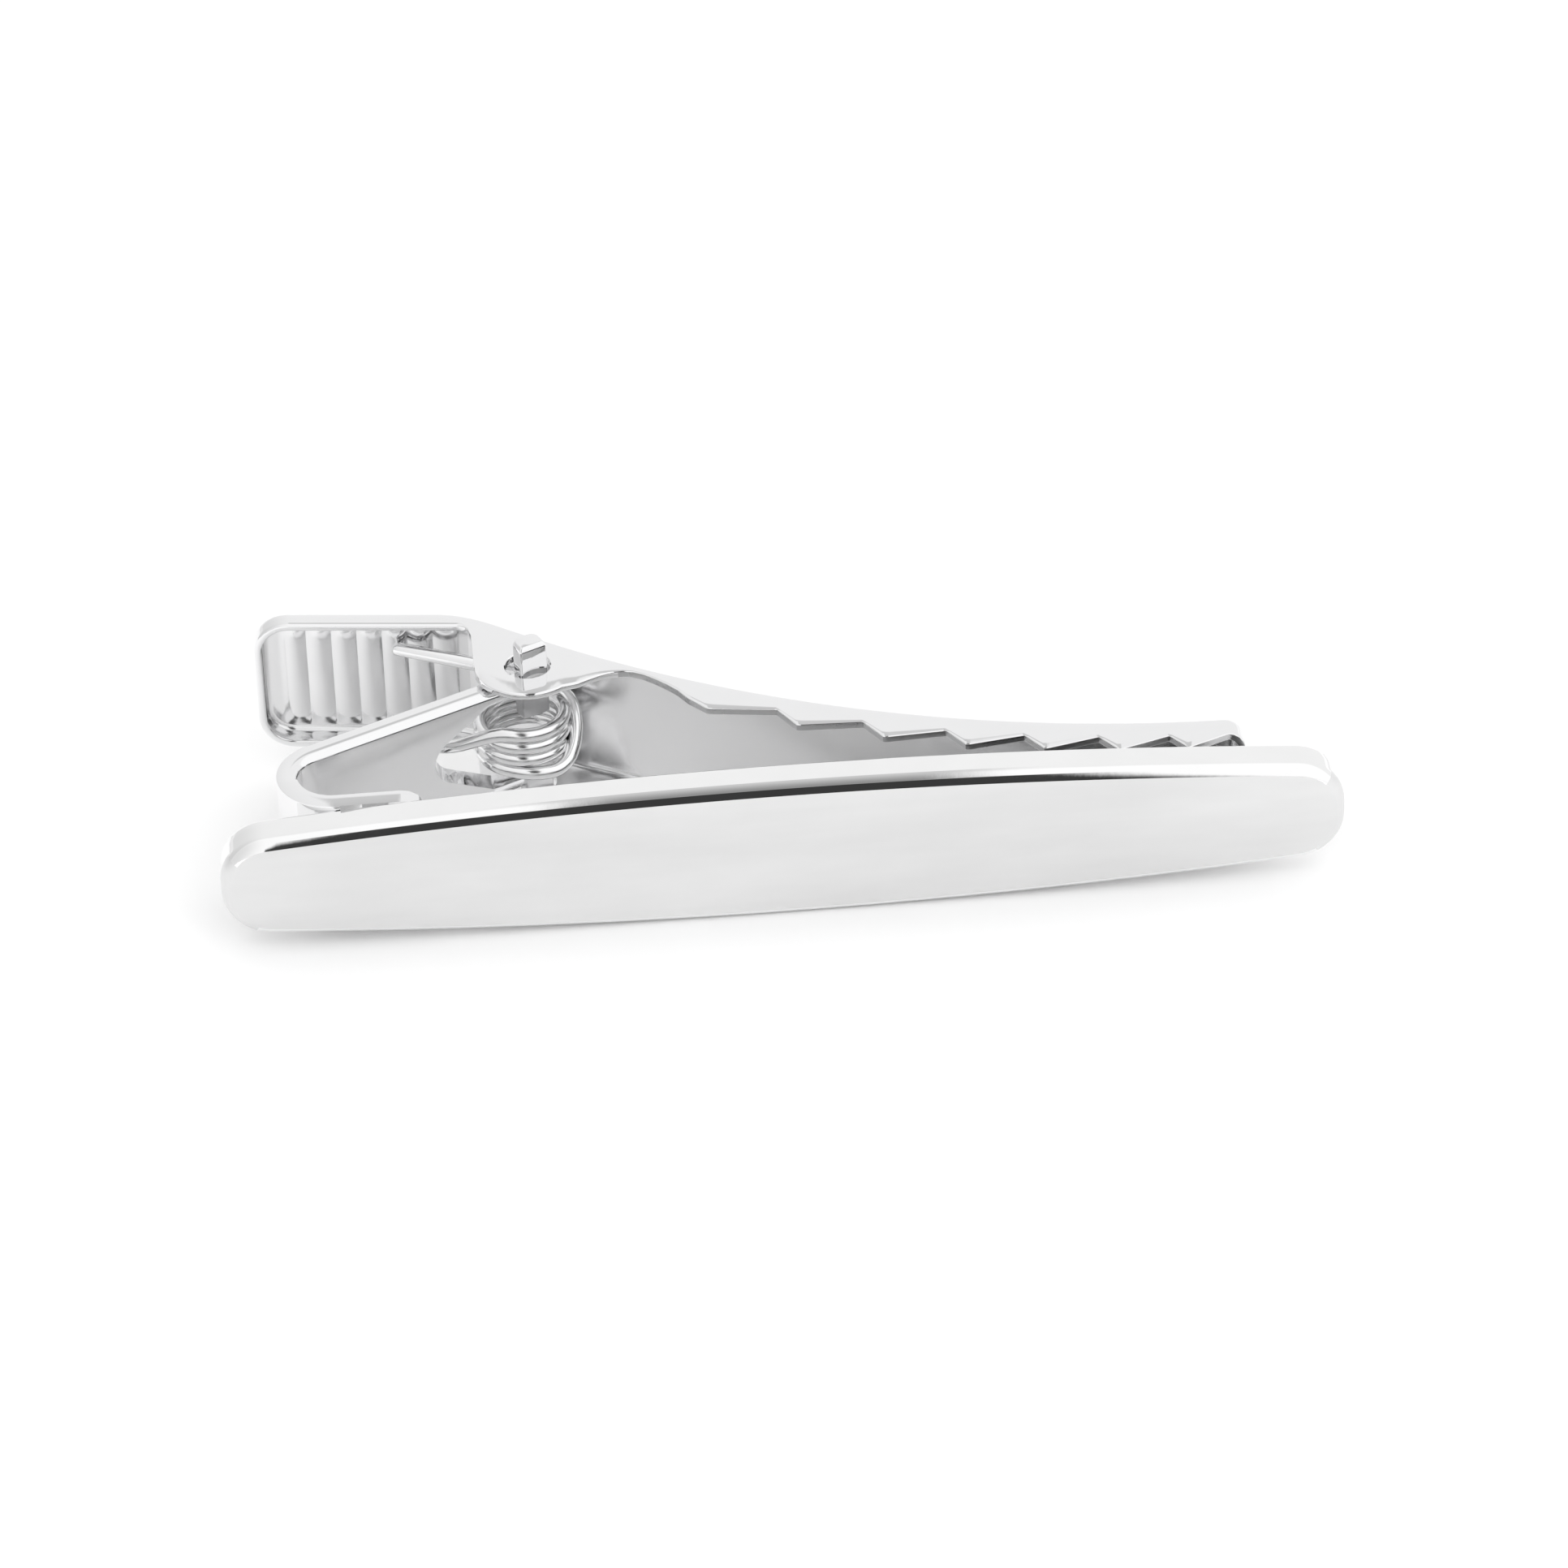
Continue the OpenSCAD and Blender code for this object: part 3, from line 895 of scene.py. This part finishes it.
def spring_path(leg_steps=30, coil_steps=260):
    """Middle of the wire, from the arm's leg through the coil to the tab's leg."""
    dx, dy = TAB_LEG[0] - COIL_X, TAB_LEG[1] - COIL_Y
    far = math.hypot(dx, dy)
    arrive = math.atan2(dy, dx) - math.acos(COIL_R / far) + TURNS
    sweep = arrive - LEAVE
    pts = []
    px, py = COIL_X + COIL_R * math.cos(LEAVE), COIL_Y + COIL_R * math.sin(LEAVE)
    for i in range(leg_steps, 0, -1):
        s = ARM_LEG * i / leg_steps
        z = TOP_Z + (0.1 - TOP_Z) * smooth(s / 3.4)
        pts.append((px - math.cos(LEG_SLOPE) * s, py + math.sin(LEG_SLOPE) * s, z))
    for i in range(coil_steps + 1):
        a = LEAVE + sweep * i / coil_steps
        last = a - TURNS
        down = (a - LEAVE) / (TURNS + CLIMB_FROM - LEAVE)
        low = TOP_Z + (LOW_Z - TOP_Z) * min(1.0, down)
        climb = smooth((last - CLIMB_FROM) / (CLIMB_TO - CLIMB_FROM))
        bulge = smooth((last - BULGE_FROM) / (BULGE_FULL - BULGE_FROM))
        bulge *= 1 - smooth((last - BULGE_UNTIL) / BULGE_FADE)
        r = COIL_R + CLIMB_WIDE * bulge
        z = low + (TAB_LEG[2] - LOW_Z) * climb
        pts.append((COIL_X + r * math.cos(a), COIL_Y + r * math.sin(a), z))
    qx, qy = COIL_X + COIL_R * math.cos(arrive), COIL_Y + COIL_R * math.sin(arrive)
    for i in range(1, leg_steps + 1):
        u = i / leg_steps
        pts.append((qx + (TAB_LEG[0] - qx) * u, qy + (TAB_LEG[1] - qy) * u, TAB_LEG[2]))
    return [Vector(p) for p in pts]


def build_spring(sides=24):
    path = spring_path()
    grid = Grid()
    up = Vector((0, 0, 1))
    turns = [2 * math.pi * k / sides for k in range(sides)]

    def ring(p, t, r):
        side = up.cross(t).normalized()
        over = t.cross(side)
        return grid.add([tuple(p + r * (math.cos(a) * side + math.sin(a) * over)) for a in turns])

    r = WIRE / 2
    last = len(path) - 1
    rings = []
    for i, p in enumerate(path):
        t = (path[min(last, i + 1)] - path[max(0, i - 1)]).normalized()
        # both cut ends are slightly rounded
        if i == 0:
            rings += [ring(p, t, r * 0.86), ring(p + t * 0.05, t, r * 0.98)]
        elif i == last:
            rings += [ring(p - t * 0.05, t, r * 0.98), ring(p, t, r * 0.86)]
        else:
            rings.append(ring(p, t, r))
    grid.tube(rings)
    return make_object("torsion_spring_wire", grid, [wire_metal], sharp=50)


spring = build_spring()
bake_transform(spring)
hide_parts("torsion_spring")

# ---------------------------------------------------------------- camera

# fitted to the bar's outline in the photograph
ELEVATION = math.radians(36)
YAW = math.radians(3.4)
ROLL = math.radians(2.2)
DISTANCE = 400.0
FOCAL_PX = 11130.0
SHIFT_PX = (2.1, 86.9)
FRAME_PX = 1932.0
SENSOR = 36.0

forward = Vector(
    (math.sin(YAW) * math.cos(ELEVATION), math.cos(YAW) * math.cos(ELEVATION), -math.sin(ELEVATION))
).normalized()
right = Vector((math.cos(YAW), -math.sin(YAW), 0.0))
above = right.cross(forward)
right_rolled = math.cos(ROLL) * right - math.sin(ROLL) * above
above_rolled = math.sin(ROLL) * right + math.cos(ROLL) * above
eye = -forward * DISTANCE * MM

camera_data = bpy.data.cameras.new("camera")
camera_data.sensor_width = SENSOR
camera_data.sensor_fit = "HORIZONTAL"
camera_data.lens = FOCAL_PX / FRAME_PX * SENSOR
camera_data.shift_x = -SHIFT_PX[0] / FRAME_PX
camera_data.shift_y = SHIFT_PX[1] / FRAME_PX
camera_data.clip_start = 0.01
camera_data.clip_end = 10.0
camera_data.dof.use_dof = False
camera = bpy.data.objects.new("camera", camera_data)
turn = Matrix((right_rolled, above_rolled, -forward)).transposed().to_4x4()
camera.matrix_world = Matrix.Translation(eye) @ turn
bpy.context.scene.collection.objects.link(camera)
bpy.context.scene.camera = camera

# ---------------------------------------------------------------- floor and light

WHITE_TO, PAINTED_FALLOFF_FROM = 0.13, 0.55  # metres: the sheet is white nearer than the first, and painted grey farther than the second: painted shade of light falling off
FLOOR_HALF = 1200.0
TENT = 1.12


def floor_painted_falloff():
    """White round the object; farther out its colour is painted grey, a painted shade of light
    falling off.
    """
    mat, nt, bsdf = node_tree("floor_white_painted_falloff")
    bsdf.inputs["Roughness"].default_value = 0.9
    bsdf.inputs["Specular IOR Level"].default_value = 0.1
    coord = nt.nodes.new("ShaderNodeTexCoord")
    far = nt.nodes.new("ShaderNodeVectorMath")
    far.operation = "LENGTH"
    nt.links.new(coord.outputs["Object"], far.inputs[0])
    painted_falloff_mix = nt.nodes.new("ShaderNodeMix")
    painted_falloff_mix.data_type = "RGBA"
    painted_falloff_mix.inputs["B"].default_value = (*grey(0.68), 1)
    white = colour_between(nt, noise(nt, 40), grey(0.965, 0), grey(0.975, 0))
    nt.links.new(white, painted_falloff_mix.inputs["A"])
    # painted shade: the colour turns grey with distance from the object
    painted_falloff = ramp(nt, far.outputs["Value"], 0.0, 1.0, WHITE_TO, PAINTED_FALLOFF_FROM)
    nt.links.new(painted_falloff, painted_falloff_mix.inputs["Factor"])
    nt.links.new(painted_falloff_mix.outputs["Result"], bsdf.inputs["Base Color"])
    return mat


def build_floor():
    """The part leans on its lower lug, so the floor is tilted a little in the object's frame."""
    lug = Vector((PIVOT_X, PIVOT_Y, bracket_low[2]))
    edge = Vector((0.0, 0.3, -BAR_TOP))
    lean = math.atan2(lug.z - edge.z, lug.y - edge.y)
    away = Vector((0, math.cos(lean), math.sin(lean)))
    corners = []
    for sx, sy in ((-1, -1), (1, -1), (1, 1), (-1, 1)):
        corners.append(edge + Vector((sx * FLOOR_HALF, 0, 0)) + away * sy * FLOOR_HALF)
    mesh = bpy.data.meshes.new("floor")
    mesh.from_pydata([tuple(c * MM) for c in corners], [], [(0, 1, 2, 3)])
    mesh.materials.append(floor_painted_falloff())
    obj = bpy.data.objects.new("floor", mesh)
    bpy.context.scene.collection.objects.link(obj)
    return obj


floor = build_floor()


def softbox(name, place, width, height, power):
    """A soft box aimed at the object. It lights, but isn't seen in reflections."""
    data = bpy.data.lights.new(name, "AREA")
    data.shape = "RECTANGLE"
    data.size = width
    data.size_y = height
    data.energy = power
    light = bpy.data.objects.new(name, data)
    light.location = place
    light.rotation_euler = (Vector() - Vector(place)).to_track_quat("-Z", "Y").to_euler()
    light.visible_glossy = False
    bpy.context.scene.collection.objects.link(light)


world = bpy.data.worlds.new("studio")
bpy.context.scene.world = world
world.use_nodes = True
wnt = world.node_tree
background = wnt.nodes["Background"]
coord = wnt.nodes.new("ShaderNodeTexCoord")
split = wnt.nodes.new("ShaderNodeSeparateXYZ")
wnt.links.new(coord.outputs["Generated"], split.inputs["Vector"])


def wmath(op, a, b=None, c=None):
    node = wnt.nodes.new("ShaderNodeMath")
    node.operation = op
    for i, v in enumerate((a, b, c)):
        if isinstance(v, (int, float)):
            node.inputs[i].default_value = v
        elif v is not None:
            wnt.links.new(v, node.inputs[i])
    return node.outputs[0]


def wstep(value, low, high):
    node = wnt.nodes.new("ShaderNodeMapRange")
    node.interpolation_type = "SMOOTHSTEP"
    node.inputs["From Min"].default_value = low
    node.inputs["From Max"].default_value = high
    wnt.links.new(value, node.inputs["Value"])
    return node.outputs["Result"]


def wband(value, low, high, soft):
    rise = wstep(value, low - soft, low + soft)
    fall = wstep(value, high - soft, high + soft)
    return wmath("SUBTRACT", rise, fall)


def wmix(factor, a, b):
    """a where factor is 0, b where it is 1."""
    return wmath("MULTIPLY_ADD", wmath("SUBTRACT", b, a), factor, a)


# a white tent; in front and above, the opening for the camera is dark and its rig is grey.
# tilt is in degrees, from 0 at the front to 180 at the back; across runs from left to right
tilt = wmath("ARCTAN2", split.outputs["Z"], wmath("MULTIPLY", split.outputs["Y"], -1.0))
tilt = wmath("MULTIPLY", tilt, 180 / math.pi)
across = split.outputs["X"]
tent = wmath("MULTIPLY_ADD", wstep(across, -1.0, 0.1), TENT * 0.3, TENT * 0.7)
tent = wmath("MULTIPLY", tent, wmath("MULTIPLY_ADD", wstep(tilt, 110, 124), -0.13, 1.0))
opening = wmath("MULTIPLY", wband(tilt, 5, 66, 2.5), wband(across, -0.12, 0.155, 0.02))
rig = wmath("MULTIPLY", wband(tilt, 66, 140, 2.0), wband(across, -0.03, 0.115, 0.02))
rig_level = wmath("MULTIPLY_ADD", wstep(tilt, 60, 145), 0.4, 0.28)
level = wmix(opening, wmix(rig, tent, rig_level), 0.045)
wnt.links.new(level, background.inputs["Color"])
background.inputs["Strength"].default_value = 1.0

softbox("front_fill", (0.0, -0.4, 0.42), 0.6, 0.4, 1.35)
softbox("top_fill", (0.0, 0.15, 0.6), 0.5, 0.5, 0.2)

bpy.context.scene.view_settings.view_transform = "Standard"
